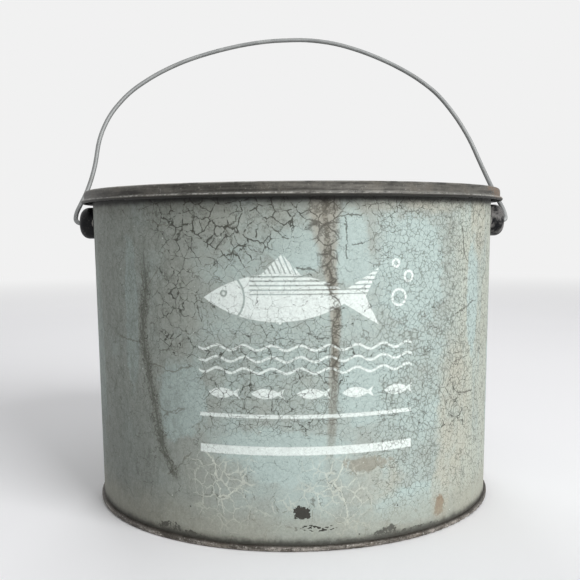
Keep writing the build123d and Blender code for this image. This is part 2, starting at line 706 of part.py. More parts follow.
def make_handle_saddles():
    """Two strap saddles that hold the handle's ends down on the deck."""
    foot_z = DECK_TOP_Z + SHEET / 2
    side = FilletPolyline(
        (-SADDLE_HALF - SADDLE_FOOT, foot_z),
        (-SADDLE_HALF, foot_z),
        (-SADDLE_HALF, HANDLE_Z),
        radius=[SADDLE_BEND_R],
    )
    hump = CenterArc((0, HANDLE_Z), SADDLE_HALF, 180, -180)
    strap = Plane.YZ * trace(side + hump + mirror(side, Plane.YZ), SHEET)
    saddle = Pos(SADDLE_X, 0, 0) * extrude(strap, SADDLE_LENGTH / 2, both=True)
    top_z = DECK_TOP_Z + SHEET
    holes = rivet_holes(SADDLE_RIVET_R, saddle_rivet_places(), top_z, DECK_TOP_Z)
    return [one - holes for one in (saddle, mirror(saddle, Plane.YZ))]


def make_parts():
    """Every piece of the bucket by its name."""
    ear = make_ear()
    deck_plus_sheet = DECK_TOP_Z + SHEET
    lid_plus_sheet = LID_TOP_Z + SHEET
    return {
        "pail_wall": make_pail_wall() - ear_rivet_wall_holes(),
        "pail_bottom": make_pail_bottom(),
        "pail_rim_wire": bead(CURL_CENTRE_R, CURL_Z, RIM_WIRE_R),
        "ear_right": ear,
        "ear_left": mirror(ear, Plane.YZ),
        "ear_rivets": make_ear_rivets(),
        "bail_wire": make_bail_wire(),
        "cover_deck": make_cover_deck(),
        "basket_wall": make_basket_wall(),
        "basket_bottom": make_basket_bottom(),
        "float_pan": make_float_pan(),
        "hatch_neck": make_hatch_neck(),
        "hinge_bracket": make_hinge_bracket(),
        "hinge_pin": make_hinge_pin(),
        "hinge_rivets": rivets_down(
            HINGE_RIVET_R, bracket_rivet_places(), deck_plus_sheet, DECK_UNDER_Z
        ),
        "lid_plate": make_lid_plate(),
        "lid_hinge_leaf": make_lid_hinge_leaf(),
        "lid_rivets": rivets_down(
            HINGE_RIVET_R, leaf_rivet_places(), lid_plus_sheet, LID_UNDER_Z
        ),
        "lid_spring": make_lid_spring(),
        "handle_wire": make_handle_wire(),
        "handle_saddles": make_handle_saddles(),
        "handle_rivets": rivets_down(
            SADDLE_RIVET_R, saddle_rivet_places(), deck_plus_sheet, DECK_UNDER_Z
        ),
    }


os.makedirs("parts", exist_ok=True)
for node, shape in make_parts().items():
    if isinstance(shape, list):
        shape = Compound(children=[solid for piece in shape for solid in piece.solids()])
    shape.label = node
    export_step(shape, f"parts/{node}.step")
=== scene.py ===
import json
import math

import bmesh
import bpy
from mathutils import Euler, Matrix, Vector


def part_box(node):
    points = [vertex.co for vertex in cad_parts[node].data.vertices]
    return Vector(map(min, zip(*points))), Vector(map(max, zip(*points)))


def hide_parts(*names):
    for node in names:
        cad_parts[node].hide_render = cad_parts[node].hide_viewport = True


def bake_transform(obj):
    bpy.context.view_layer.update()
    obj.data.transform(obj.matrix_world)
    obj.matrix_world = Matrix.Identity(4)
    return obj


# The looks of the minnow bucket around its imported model, in metres.
# Materials work in millimetres on the wall: "along" runs round it from the front towards +X,
# and "height" runs up from the table.

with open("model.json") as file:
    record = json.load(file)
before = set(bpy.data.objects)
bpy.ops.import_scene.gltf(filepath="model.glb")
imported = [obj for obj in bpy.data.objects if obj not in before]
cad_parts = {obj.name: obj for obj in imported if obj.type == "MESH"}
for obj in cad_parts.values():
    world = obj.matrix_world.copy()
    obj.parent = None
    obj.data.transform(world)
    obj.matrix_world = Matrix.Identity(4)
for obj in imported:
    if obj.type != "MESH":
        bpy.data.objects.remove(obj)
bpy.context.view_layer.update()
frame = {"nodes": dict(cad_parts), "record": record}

MM = 0.001
WALL_R_MM = 127.0
HALF_ROUND_MM = math.pi * WALL_R_MM
WALL_HEIGHT_MM = 182
INSIDE_FOOT_R_MM = 123.7
INSIDE_FLARE_MM = 3.2
COVER_TOP_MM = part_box("cover_deck")[1].z / MM

# Cover, in millimetres: its skirt and the lip under it, the heights under the lip that are painted dark as
# shade, and where dirt gathers on its deck
SKIRT_R_MM = (128.5, 130.5)
LIP_R_MM = (132.6, 133.4)
LIP_Z_MM = 187.75
SHADED_UNDER_LIP_Z_MM = (187.1, 186.5)
DECK_CORNER_R_MM = 118
NECK_R_MM = 46
COVER_RUST_ALONG_MM = 152

# The world's light on the object, and how bright it shows in the view and in reflections
WORLD_LEVEL = 0.28
SHOWN_LEVEL = 0.88

# The floor, and the distances from the bucket over which it fades into the world's white
FLOOR_HALF_WIDTH = 40.0
FLOOR_FADE_MM = (900.0, 2600.0)

# Lid spring, in millimetres: a coil round the hinge pin, from the bracket's side to the lid's
PIN_Y = 50.2
PIN_Z = 195.14
COIL_R = 2.25
COIL_PITCH = 1.6
COIL_TURNS = 5.25
SPRING_WIRE_R = 0.45
SPRING_LEG = 11.0
SPRING_FOOT_Z = 189.3

# Lamps: name, azimuth and elevation in degrees, distance and size in metres, and level
LAMPS = [
    ("key", 42, 26, 3.0, 1.65, 1.02),
    ("top", 20, 80, 1.7, 1.4, 0.15),
    ("back", 190, 45, 2.4, 1.0, 0.22),
]
LAMP_TARGET = Vector((0.0, 0.0, 0.1))

# Camera, from the photograph: its frame and focal length in pixels, place in metres, turns in radians
PHOTO_SIDE = 580
FOCAL_PIXELS = 836.85
SENSOR = 36.0
CAMERA_PLACE = (-1.64 * MM, -553.2 * MM, 169.3 * MM)
CAMERA_DOWN = 0.073
CAMERA_ROLL = -0.008


class Signal:
    """A number that varies over a surface, made of shader math nodes."""

    def __init__(self, graph, socket):
        self.graph = graph
        self.socket = socket

    def _math(self, operation, *others):
        return self.graph.math(operation, self, *others)

    def __add__(self, other):
        return self._math("ADD", other)

    def __sub__(self, other):
        return self._math("SUBTRACT", other)

    def __mul__(self, other):
        return self._math("MULTIPLY", other)

    def __truediv__(self, other):
        return self._math("DIVIDE", other)

    __radd__ = __add__

    def __rsub__(self, other):
        return self.graph.math("SUBTRACT", other, self)

    def __neg__(self):
        return self * -1.0

    def __abs__(self):
        return self._math("ABSOLUTE")

    def least(self, other):
        return self._math("MINIMUM", other)

    def most(self, other):
        return self._math("MAXIMUM", other)

    def sine(self):
        return self._math("SINE")

    def root(self):
        return self._math("SQRT")

    def repeat(self, step):
        """The number wrapped into one step centred on zero."""
        return self._math("WRAP", step / 2, -step / 2)

    def rise(self, low, high):
        """0 below low, 1 above high, smooth between. low may be the larger, for a fall."""
        return self.graph.smooth(self, low, high)

    def near(self, place, inner, outer):
        """1 within inner of a place, 0 beyond outer."""
        return abs(self - place).rise(outer, inner)

    def stroke(self, half_width, least=0.01, outer=1.3, inner=0.5):
        """1 on a line, from the millimetres to it and its half width, which may vary."""
        if isinstance(half_width, Signal):
            half_width = half_width.most(least)
        return (self / half_width).rise(outer, inner)


class Graph:
    """One material's node tree, with short names for the nodes it uses."""

    def __init__(self, name):
        self.material = bpy.data.materials.new(name)
        self.material.use_nodes = True
        self.tree = self.material.node_tree
        self.shader = self.tree.nodes["Principled BSDF"]
        place = self.add("ShaderNodeTexCoord").outputs["Object"]
        scaled = self.add("ShaderNodeVectorMath", operation="SCALE")
        self.plug(scaled.inputs[0], place)
        scaled.inputs["Scale"].default_value = 1 / MM
        self.place = scaled.outputs[0]
        split = self.add("ShaderNodeSeparateXYZ")
        self.plug(split.inputs[0], self.place)
        self.x, self.y, self.z = (Signal(self, output) for output in split.outputs)
        self.color = None

    def add(self, kind, **settings):
        node = self.tree.nodes.new(kind)
        for name, value in settings.items():
            setattr(node, name, value)
        return node

    def plug(self, target, value):
        """Set a socket to a number, a colour or another node's output."""
        if isinstance(value, Signal):
            value = value.socket
        if isinstance(value, bpy.types.NodeSocket):
            self.tree.links.new(value, target)
        else:
            target.default_value = value

    def math(self, operation, *values):
        node = self.add("ShaderNodeMath", operation=operation)
        for target, value in zip(node.inputs, values):
            self.plug(target, value)
        return Signal(self, node.outputs[0])

    def smooth(self, value, low, high):
        """A smooth step. Where low is above high, it falls instead of rising."""
        falls = low > high
        node = self.add("ShaderNodeMapRange", interpolation_type="SMOOTHSTEP")
        self.plug(node.inputs["Value"], value)
        self.plug(node.inputs["From Min"], min(low, high))
        self.plug(node.inputs["From Max"], max(low, high))
        self.plug(node.inputs["To Min"], 1.0 if falls else 0.0)
        self.plug(node.inputs["To Max"], 0.0 if falls else 1.0)
        return Signal(self, node.outputs[0])

    def radius(self):
        """Millimetres from the bucket's axis."""
        return (self.x * self.x + self.y * self.y).root()

    def noise(self, size, detail=3.0, rough=0.55, place=None, seed=0.0):
        """Noise from 0 to 1 whose blobs are about this many millimetres across."""
        node = self.add("ShaderNodeTexNoise", noise_dimensions="4D")
        self.plug(node.inputs["Vector"], place or self.place)
        self.plug(node.inputs["W"], seed)
        self.plug(node.inputs["Scale"], 1 / size)
        self.plug(node.inputs["Detail"], detail)
        self.plug(node.inputs["Roughness"], rough)
        return Signal(self, node.outputs["Fac"])

    def shifted(self, size, amount, place=None, seed=0.0):
        """The place moved about by noise, by up to this many millimetres."""
        node = self.add("ShaderNodeTexNoise", noise_dimensions="4D")
        self.plug(node.inputs["Vector"], place or self.place)
        self.plug(node.inputs["W"], seed)
        self.plug(node.inputs["Scale"], 1 / size)
        self.plug(node.inputs["Detail"], 2.0)
        centred = self.add("ShaderNodeVectorMath", operation="SUBTRACT")
        self.plug(centred.inputs[0], node.outputs["Color"])
        centred.inputs[1].default_value = (0.5, 0.5, 0.5)
        move = self.add("ShaderNodeVectorMath", operation="SCALE")
        self.plug(move.inputs[0], centred.outputs[0])
        move.inputs["Scale"].default_value = 2 * amount
        total = self.add("ShaderNodeVectorMath", operation="ADD")
        self.plug(total.inputs[0], place or self.place)
        self.plug(total.inputs[1], move.outputs[0])
        return total.outputs[0]

    def stretched(self, x, y, z):
        """The place with each direction scaled."""
        node = self.add("ShaderNodeVectorMath", operation="MULTIPLY")
        self.plug(node.inputs[0], self.place)
        node.inputs[1].default_value = (x, y, z)
        return node.outputs[0]

    def cells(self, size, place=None, feature="F1"):
        """The node of a cell pattern about this many millimetres across."""
        node = self.add("ShaderNodeTexVoronoi", feature=feature)
        self.plug(node.inputs["Vector"], place or self.place)
        self.plug(node.inputs["Scale"], 1 / size)
        return node

    def edges(self, size, place=None):
        """Millimetres to the nearest edge between cells."""
        node = self.cells(size, place, "DISTANCE_TO_EDGE")
        return Signal(self, node.outputs["Distance"]) * size

    def curve(self, value, low, high, points):
        """A smooth line through (place, value) points, for places from low to high."""
        values = [point[1] for point in points]
        base = min(values)
        span = max(values) - base
        node = self.add("ShaderNodeFloatCurve")
        line = node.mapping.curves[0]
        shares = [((at - low) / (high - low), (level - base) / span) for at, level in points]
        line.points[0].location = shares[0]
        line.points[-1].location = shares[-1]
        for share in shares[1:-1]:
            line.points.new(*share)
        node.mapping.update()
        self.plug(node.inputs["Value"], (value - low) / (high - low))
        return Signal(self, node.outputs[0]) * span + base

    def mix(self, share, first, second):
        """Colour from first to second."""
        node = self.add("ShaderNodeMix", data_type="RGBA")
        self.plug(node.inputs[0], share)
        self.plug(node.inputs[6], first)
        self.plug(node.inputs[7], second)
        return node.outputs[2]

    def tint(self, share, *levels):
        """Mix a colour, 0 to 255, over the colour so far."""
        self.color = self.mix(share, self.color, srgb(*levels))

    def cell_tone(self, cells):
        """A number from 0 to 1 that differs from cell to cell."""
        split = self.add("ShaderNodeSeparateColor")
        self.plug(split.inputs[0], cells.outputs["Color"])
        return Signal(self, split.outputs[0])

    def brighten(self, factor):
        """Multiply the colour so far by a number."""
        node = self.add("ShaderNodeVectorMath", operation="SCALE")
        self.plug(node.inputs[0], self.color)
        self.plug(node.inputs["Scale"], factor)
        self.color = node.outputs[0]

    def bump(self, height_mm, strength=1.0):
        """Relief from a height in millimetres."""
        node = self.add("ShaderNodeBump")
        self.plug(node.inputs["Height"], height_mm)
        node.inputs["Distance"].default_value = MM
        node.inputs["Strength"].default_value = strength
        self.tree.links.new(node.outputs[0], self.shader.inputs["Normal"])

    def finish(self, metallic, rough, **fixed):
        """Plug the colour so far, metal share and roughness, and set the shader's fixed numbers."""
        self.plug(self.shader.inputs["Base Color"], self.color)
        self.plug(self.shader.inputs["Metallic"], metallic)
        self.plug(self.shader.inputs["Roughness"], rough)
        for name, value in fixed.items():
            self.shader.inputs[name.replace("_", " ")].default_value = value
        return self.material


def srgb(red, green, blue):
    """A colour given as it looks, 0 to 255, as the shader wants it."""
    levels = []
    for value in (red, green, blue):
        share = value / 255
        levels.append(share / 12.92 if share <= 0.04045 else ((share + 0.055) / 1.055) ** 2.4)
    return (*levels, 1.0)


# Painted wall: places are (along, height) in millimetres

LEFT_CRACK = [(30, -66), (42, -73), (55, -79), (79, -84), (94, -88), (117, -91), (137, -88), (165, -90)]
BROWN_BAND = [(28, 17), (66, 20), (92, 21), (120, 22), (150, 18.5), (187, 16)]
SIDE_CRACKS = [
    [(-91, 147), (-89.5, 141), (-88, 136)],
    [(-78, 147), (-83, 142), (-87.5, 137.5)],
    [(-88, 95), (-81, 96), (-71, 93.5), (-64, 95.5), (-56, 97)],
    [(-77, 68), (-70, 71.5), (-62, 73.5)],
    [(-118, 109.5), (-106, 108.5), (-93, 107)],
    [(-87, 178), (-82, 174), (-74, 171.5), (-68, 172)],
    [(-79, 74.5), (-70.5, 70.5), (-63.5, 72.5)],
    [(-74.5, 36.5), (-67, 41), (-63, 46), (-57.5, 49.5)],
]
FRONT_CRACKS = [
    [(20, 173), (26, 175.5), (31, 176.7), (36, 174.5)],
    [(27, 175), (27.8, 165), (28, 154)],
    [(107.5, 170), (110.5, 155), (117, 149)],
    [(100, 82), (110, 75.5), (124, 75.5)],
    [(2, 149.5), (8, 149), (12.5, 146.5)],
    [(8, 115), (13.5, 113), (18.5, 113)],
    [(-29.3, 182), (-29, 177), (-29.4, 173)],
    [(-37, 170.5), (-33.5, 171.2), (-29.4, 173)],
    [(-10.5, 170.5), (-6, 166.5), (-2, 164)],
    [(31, 161.5), (36, 161.5), (40.5, 164)],
    [(-54, 168), (-53.3, 173), (-55, 178), (-59, 182)],
    [(-49.5, 121), (-52, 129), (-52.6, 135)],
    [(101, 120.5), (113, 124.5), (124, 127.5)],
]
PALE_CRACKS = [
    [(-52, 52), (-45, 47), (-42.5, 38), (-41, 28), (-39, 19)],
    [(-41, 28), (-33, 31), (-27, 38)],
    [(28, 50), (21, 36), (14, 31), (8, 28.5)],
    [(21, 36), (26.5, 27), (29, 13)],
]
CLEAN_PATCHES = [
    ((4, 160), (15, 13)),
    ((30, 160), (11, 19)),
    ((68, 147), (20, 30)),
    ((-65, 78), (15, 24)),
    ((-101, 120), (6, 46)),
    ((-5, 50), (36, 14)),
    ((70, 20), (30, 10)),
    ((121, 132), (7, 34)),
    ((36, 84), (11, 18)),
    ((-155, 90), (14, 60)),
    ((-290, 125), (24, 34)),
    ((175, 80), (16, 52)),
    ((300, 105), (28, 30)),
]
BROWN_STAINS = [
    ((-32, 182), (52, 17)),
    ((28, 186), (40, 9)),
    ((80, 187), (30, 10)),
    ((131, 172), (14, 20)),
    ((-66, 128), (15, 34)),
    ((103, 62), (17, 44)),
    ((92, 24), (9, 22)),
    ((-44, 38), (24, 12)),
    ((38, 36), (24, 15)),
    ((-190, 165), (36, 28)),
    ((-250, 60), (24, 44)),
    ((-335, 178), (54, 15)),
    ((210, 150), (28, 36)),
    ((258, 84), (18, 60)),
    ((335, 172), (56, 18)),
]
SEAM_SMUDGES = [((-74, 6), (10, 4)), ((-58, 4.5), (10, 2.5)), ((51, 5.5), (10, 4)), ((74, 4.5), (18, 2.5))]
UPPER_LEFT = ((-34, 180), (56, 34))
LOWER_MIDDLE = ((-8, 92), (56, 36))
RUST_SPOT = ((90, 14), (4.6, 6.0))
RUST_WASH = ((40, 45.0), (14, 4.2))
CHIP = (4.0, 20.8)
NICKS = ((11, 12.2), (13, 2.2))

# Generic printed design: places (along, height) and sizes in millimetres
PRINT_LEFT = -52.0
PRINT_RIGHT = 67.0
BIG_FISH = ((-8.0, 134.0), 40.0, 12.5)
SMALL_FISH = ((0.0, 84.0), 7.6, 2.7)
SMALL_FISH_STEP = 24.0
SMALL_FISH_START = 9.0
WAVE_LEVELS = (108.0, 102.0, 96.0)
WAVE_LENGTH = 15.0
WAVE_SWING = 1.3
WAVE_LINE = 1.3
BUBBLES = [((58.0, 133.0), 4.2), ((64.0, 144.0), 2.6), ((56.0, 151.0), 1.9)]
BARS = [(71.0, 73.0), (51.5, 56.0)]
HATCH_STEP = 2.3
FIN_RAY_STEP = 2.6


def on_wall(graph):
    """Millimetres round the wall from its front, and height above the table."""
    angle = graph.math("ARCTAN2", graph.x, -graph.y)
    return angle * WALL_R_MM, graph.z


def spot(along, height, place, size):
    """Distance from the middle of a round or oval spot, as a share of its size."""
    across = (along - place[0]) / size[0]
    up = (height - place[1]) / size[1]
    return (across * across + up * up).root()


def blotches_at(along, height, ovals, ragged):
    """1 inside any of the ovals, 0 outside, with an edge made uneven by a noise."""
    nearest = None
    for place, size in ovals:
        gap = spot(along, height, place, size)
        nearest = gap if nearest is None else nearest.least(gap)
    return (nearest + (ragged - 0.5) * 2.4).rise(1.2, 0.7)


def crack_gap(graph, along, height, points):
    """Millimetres to a crack through points, and more past its ends."""
    spans = [max(values) - min(values) for values in zip(*points)]
    flat = spans[0] > spans[1]
    run, side = (along, height) if flat else (height, along)
    shares = sorted(point if flat else (point[1], point[0]) for point in points)
    low = shares[0][0]
    high = shares[-1][0]
    gap = abs(side - graph.curve(run, low, high, shares))
    return gap + (low - run).most(run - high).most(0.0)


def nearest_crack(graph, along, height, cracks):
    nearest = None
    for points in cracks:
        gap = crack_gap(graph, along, height, points)
        nearest = gap if nearest is None else nearest.least(gap)
    return nearest


def edge_of(shape):
    """1 inside a shape given as millimetres outside it, 0 outside."""
    return shape.rise(0.25, -0.25)


def fish(along, height, place, half_length, half_height):
    """A plain fish facing left: millimetres outside it."""
    x = along - place[0]
    y = height - place[1]
    arc_centre = (half_length**2 - half_height**2) / (2 * half_height)
    arc_r = arc_centre + half_height
    squared = x * x
    above = (squared + (y + arc_centre) * (y + arc_centre)).root() - arc_r
    below = (squared + (y - arc_centre) * (y - arc_centre)).root() - arc_r
    body = above.most(below)
    tail_start = 0.80 * half_length
    tail_end = 1.16 * half_length
    upright = abs(y)
    tail = (upright - (x - tail_start) * 0.6 - half_height * 0.15).most(x - upright * 0.5 - tail_end)
    return body.least(tail.most(tail_start - x))


def big_fish(along, height, place, half_length, half_height):
    """The large fish, with fins, an eye, a gill line and a hatched back: white where 1."""
    x = along - place[0]
    y = height - place[1]
    outline = fish(along, height, place, half_length, half_height)
    back_fin = (y - x - half_height - 8.0).most(x + y * 0.9 - half_height - 10.0)
    back_fin = back_fin.most(half_height * 0.5 - y)
    belly_fin = (-y - x - half_height - 1.0).most(x - y * 0.9 - half_height - 1.0)
    belly_fin = belly_fin.most(half_height * 0.5 + y)
    gill = abs(spot(x, y, (-0.80 * half_length, 0.0), (1.0, 1.0)) - half_length * 0.36)
    eye = spot(x, y, (-0.72 * half_length, 0.18 * half_height), (1.0, 1.0))
    hatch = (y * (2 * math.pi / HATCH_STEP)).sine().rise(-0.55, -0.25)
    hatched = y.rise(1.2, 1.7) * x.rise(-0.38 * half_length, -0.36 * half_length)
    body = edge_of(outline) * (1.0 - hatched * (1.0 - hatch))
    body = body * gill.rise(0.35, 0.75)
    body = body * eye.rise(1.7, 2.1)
    rays = (x * (2 * math.pi / FIN_RAY_STEP) + y * 1.1).sine().rise(-0.6, -0.3)
    fins = edge_of(back_fin.least(belly_fin)) * rays
    return body.most(fins * (1.0 - edge_of(outline))).most(eye.rise(1.05, 0.75))


def wave_line(along, height, level):
    """A white wavy line across the print."""
    swing = (along * (2 * math.pi / WAVE_LENGTH)).sine() * WAVE_SWING
    line = abs(height - level - swing) - WAVE_LINE / 2
    return edge_of(line.most(PRINT_LEFT - along).most(along - PRINT_RIGHT))


def bar(along, height, low, high):
    """A plain white bar across the print."""
    shape = (low - height).most(height - high).most(PRINT_LEFT - along).most(along - PRINT_RIGHT)
    return edge_of(shape)


def white_print(along, height):
    """The generic printed design: a fish with bubbles, waves, a row of small fish and bars."""
    white = big_fish(along, height, *BIG_FISH)
    row = edge_of(fish((along - SMALL_FISH_START).repeat(SMALL_FISH_STEP), height, *SMALL_FISH))
    row = row * along.rise(PRINT_LEFT, PRINT_LEFT + 1.0) * along.rise(PRINT_RIGHT + 3.0, PRINT_RIGHT + 2.0)
    white = white.most(row)
    for level in WAVE_LEVELS:
        white = white.most(wave_line(along, height, level))
    for place, radius in BUBBLES:
        ring = abs(spot(along, height, place, (1.0, 1.0)) - radius)
        white = white.most(ring.rise(0.85, 0.45))
    for low, high in BARS:
        white = white.most(bar(along, height, low, high))
    return white


class PailPaint:
    """Old pale grey-green paint, crackled all over, with dirt, rust, a worn white print and some painted
    shade.

    Each step tints the wall over what is there, and keeps the masks that later steps need.
    """

    def __init__(self):
        self.graph = graph = Graph("pail_paint")
        self.along, self.height = on_wall(graph)
        self.patches = graph.noise(38, 4, 0.62, seed=1)
        self.clouds = graph.noise(15, 5, 0.66, seed=2)
        self.grain = graph.noise(1.4, 4, 0.8, seed=3)
        self.mottle = graph.noise(4.5, 4, 0.7, seed=29)
        self.broken = graph.noise(8, 4, 0.65, seed=9)
        self.jag_place = graph.shifted(1.7, 0.9, place=graph.shifted(9.0, 3.2, seed=5), seed=6)
        self.vein = abs(graph.noise(8.0, 6, 0.72, seed=27) - 0.5)
        self.jag_a = (graph.noise(3.2, 4, 0.75, seed=11) - 0.5) * 6.0
        self.jag_b = (graph.noise(3.2, 4, 0.75, seed=16) - 0.5) * 6.0
        self.back = abs(self.along).rise(150, 240)
        self.front = 1.0 - self.back

    def lay_ground(self):
        """Clean paint, grey film, beige streaks on the right, brown stains, and a darker left side that is
        partly dirtier paint and partly painted shade away from the light on the right.
        """
        graph, along, height = self.graph, self.along, self.height
        front, back, clouds = self.front, self.back, self.clouds
        ragged = clouds * 0.5 + self.broken * 0.25 + self.mottle * 0.25
        self.clean = clean = blotches_at(along, height, CLEAN_PATCHES, ragged)
        self.stain = stain = blotches_at(along, height, BROWN_STAINS, ragged)
        left_film = along.rise(0, -80) * front * 0.35 + back * 0.2
        film = self.patches * 1.6 + clouds * 0.8 - 0.85 + left_film - clean * 0.75
        graph.color = graph.mix(film.rise(0.0, 0.8), srgb(163, 178, 174), srgb(147, 153, 146))
        upright = graph.noise(9, 4, 0.62, place=graph.stretched(1.0, 1.0, 0.10), seed=4)
        beige = along.rise(84, 122) * front * (upright + 0.25 - clean * 0.5).rise(0.50, 0.78)
        graph.tint(beige * 0.8, 172, 175, 162)
        right_stain = along.rise(20, 70) * front + back * 0.4
        stain_color = graph.mix(right_stain, srgb(150, 155, 147), srgb(169, 169, 156))
        graph.color = graph.mix(stain * (clouds + 0.15).rise(0.3, 0.8) * 0.9, graph.color, stain_color)
        self.left_side = along.rise(-70, -92) * front
        streaks = graph.noise(11, 3, 0.55, place=graph.stretched(1.0, 1.0, 0.04), seed=17)
        graph.tint(self.left_side * streaks.rise(0.35, 0.62) * 0.5, 132, 139, 132)
        # Painted shade: darker towards the left, partly dirtier paint and partly the shade away from the
        # light on the right; the back a little darker too.
        dull = along.rise(-15, -100) * front * 0.36 + back * 0.15
        graph.tint(dull, 120, 124, 117)
        low_left = along.rise(-68, -96) * front * height.rise(96, 40)
        graph.tint(low_left * 0.35, 104, 108, 103)

    def crackle(self):
        """A fine mosaic, jagged dark cracks, long thin ones, and wrinkles on the left."""
        graph, along, height = self.graph, self.along, self.height
        front, back, clouds = self.front, self.back, self.clouds
        clean, stain = self.clean, self.stain
        lower_middle = spot(along, height, *LOWER_MIDDLE).rise(1.25, 0.6) * 0.55
        zone = along.rise(38, 54) * front * height.rise(8, 26) * (1.0 - stain * 0.4)
        zone = zone.most(back * self.patches.rise(0.44, 0.58) * 0.9)
        zone = zone.most(lower_middle) * (1.0 - clean * 0.15)
        zone = zone.most((clouds - 0.35) * 0.6).most(self.left_side * (clouds + 0.1) * 0.6)
        self.mosaic_zone = zone
        self.mosaic_gap = graph.edges(2.8, graph.shifted(1.2, 0.8, seed=7))
        width = ((graph.noise(3.5, 3, 0.65, seed=10) - 0.36) * 1.5).least(0.24) * zone
        self.mosaic = self.mosaic_gap.stroke(width, least=0.012, outer=1.25)
        graph.tint(self.mosaic * 0.62, 84, 90, 82)

        upper_left = spot(along, height, *UPPER_LEFT).rise(1.15, 0.5)
        graph.tint(upper_left * 0.30, 122, 125, 116)
        zone = upper_left.most(stain * 0.55).most(height.rise(168, 184) * 0.6)
        zone = zone.most(back * clouds.rise(0.46, 0.60) * 0.8)
        zone = zone.most(lower_middle * 0.75).most(0.22) * (1.0 - clean * 0.75)
        zone = zone * (1.0 - self.left_side * 0.6) * height.rise(44, 66)
        self.jag_zone = zone
        self.jag_gap = graph.edges(6.8, self.jag_place)
        width = ((graph.noise(4.0, 4, 0.75, seed=21) - 0.41) * 3.2).least(0.40) * zone
        vein_reach = graph.noise(11, 2, 0.5, seed=28).rise(0.42, 0.52)
        veins = self.vein.rise(0.018, 0.005) * vein_reach * zone.rise(0.2, 0.8) * 0.6
        self.jag = self.jag_gap.stroke(width, outer=1.25).most(veins)
        graph.tint(self.jag * 0.86, 50, 50, 43)

        hair_gap = graph.edges(15.0, graph.shifted(5.0, 3.4, place=self.jag_place, seed=8))
        hair_width = ((graph.noise(8, 3, 0.6, seed=18) - 0.44) * 2.0).least(0.24)
        hair = hair_gap.stroke(hair_width, outer=1.25) * (1.0 - clean * 0.5)
        graph.tint(hair * 0.6, 78, 80, 71)
        wrinkle = graph.noise(3.4, 5, 0.85, place=graph.stretched(1.0, 1.0, 0.5), seed=19)
        graph.tint(wrinkle.rise(0.52, 0.44) * along.rise(-40, -75) * front * 0.30, 86, 90, 82)

    def draw_long_cracks(self):
        """The dark chain-like crack on the left, the thin ones off it, and those at the front."""
        graph, along, height = self.graph, self.along, self.height
        mottle, broken = self.mottle, self.broken
        line = graph.curve(height, 30, 165, LEFT_CRACK)
        reach = height.rise(31, 38) * height.rise(166, 142)
        gap = abs(along + self.jag_a * 0.5 + (self.clouds - 0.5) * 8.0 - line)
        chain = abs(gap - abs(broken - 0.5) * 26.0 - 0.5)
        dirt = (gap + (mottle - 0.5) * 6.0).rise(5.0, 2.0) * reach
        graph.tint(dirt * 0.34, 101, 103, 91)
        thread = chain.stroke((mottle - 0.34) * 2.6, least=0.1, outer=1.25, inner=0.6)
        core = gap.stroke((self.grain + mottle - 0.72) * 3.4, least=0.05) * 0.8
        net = self.mosaic_gap.stroke(0.18) * dirt * 0.75
        self.left_dark = thread.most(net).most(core) * reach
        wander_along = along + self.jag_a * 0.7 + (mottle - 0.5) * 3.5
        wander_height = height + self.jag_b * 0.7 + (broken - 0.5) * 5.0
        side_gap = nearest_crack(graph, wander_along, wander_height, SIDE_CRACKS)
        graph.tint(side_gap.stroke((broken - 0.2) * 1.6, least=0.1) * 0.55, 84, 82, 70)
        front_gap = nearest_crack(graph, wander_along, wander_height, FRONT_CRACKS)
        self.front_dark = front_gap.stroke((mottle - 0.30) * 1.9, least=0.05)
        graph.tint(self.left_dark.most(self.front_dark) * 0.70, 58, 57, 48)

    def lay_band(self):
        """The rough dirty band down the front."""
        graph, along, height = self.graph, self.along, self.height
        clouds, broken = self.clouds, self.broken
        line = graph.curve(height, 28, 187, BROWN_BAND)
        reach = height.rise(30, 70) * 0.55 + height.rise(80, 104) * 0.45
        width = height.rise(132, 182) * 5.0 + 3.0
        gap = abs(along - line) / width + (clouds - 0.5) * 1.5 + self.jag_a * 0.06
        self.band = gap.rise(1.15, 0.5) * reach
        graph.tint(self.band * 0.80, 146, 143, 132)
        core_gap = abs(along + self.jag_a * 0.6 + (clouds - 0.5) * 5.0 - line)
        core = core_gap.stroke(broken * 3.8, outer=1.2)
        cracks = self.jag_gap.stroke((broken - 0.22) * 1.5, inner=0.4) * gap.rise(1.4, 0.6)
        net = self.mosaic_gap.stroke(0.22) * core * 0.8
        veins = self.vein.rise(0.030, 0.010) * gap.rise(1.3, 0.7) * 0.8
        dark = cracks.most(net).most(veins) * reach * height.rise(40, 90)
        graph.tint(core * reach * 0.42, 98, 93, 79)
        graph.tint(dark * 0.70, 50, 48, 41)
        self.dark_cracks = self.jag.most(dark).most(self.front_dark)

    def print_design(self):
        """The white print, worn and broken by the cracks."""
        grain = self.grain
        mask = white_print(self.along + (grain - 0.5) * 0.7, self.height + (grain - 0.5) * 0.6)
        worn = (grain * 0.7 + self.broken * 0.3).rise(0.34, 0.42)
        mask = mask * worn * (1.0 - self.dark_cracks * 0.85)
        self.print_mask = mask * (1.0 - self.mosaic * 0.6) * (1.0 - self.band * 0.2)
        self.graph.tint(self.print_mask * 0.93, 214, 222, 218)

    def draw_pale_cracks(self):
        """Pale cracks low on the wall."""
        graph, height = self.graph, self.height
        gap = nearest_crack(graph, self.along + self.jag_a, height + self.jag_b, PALE_CRACKS)
        self.pale_line = gap.stroke((self.mottle - 0.28) * 2.0, least=0.1, inner=0.4)
        net = self.jag_gap.stroke((self.broken - 0.34) * 1.6) * gap.rise(24, 8) * height.rise(56, 44)
        graph.tint(self.pale_line.most(net * 0.7) * 0.64, 206, 210, 198)

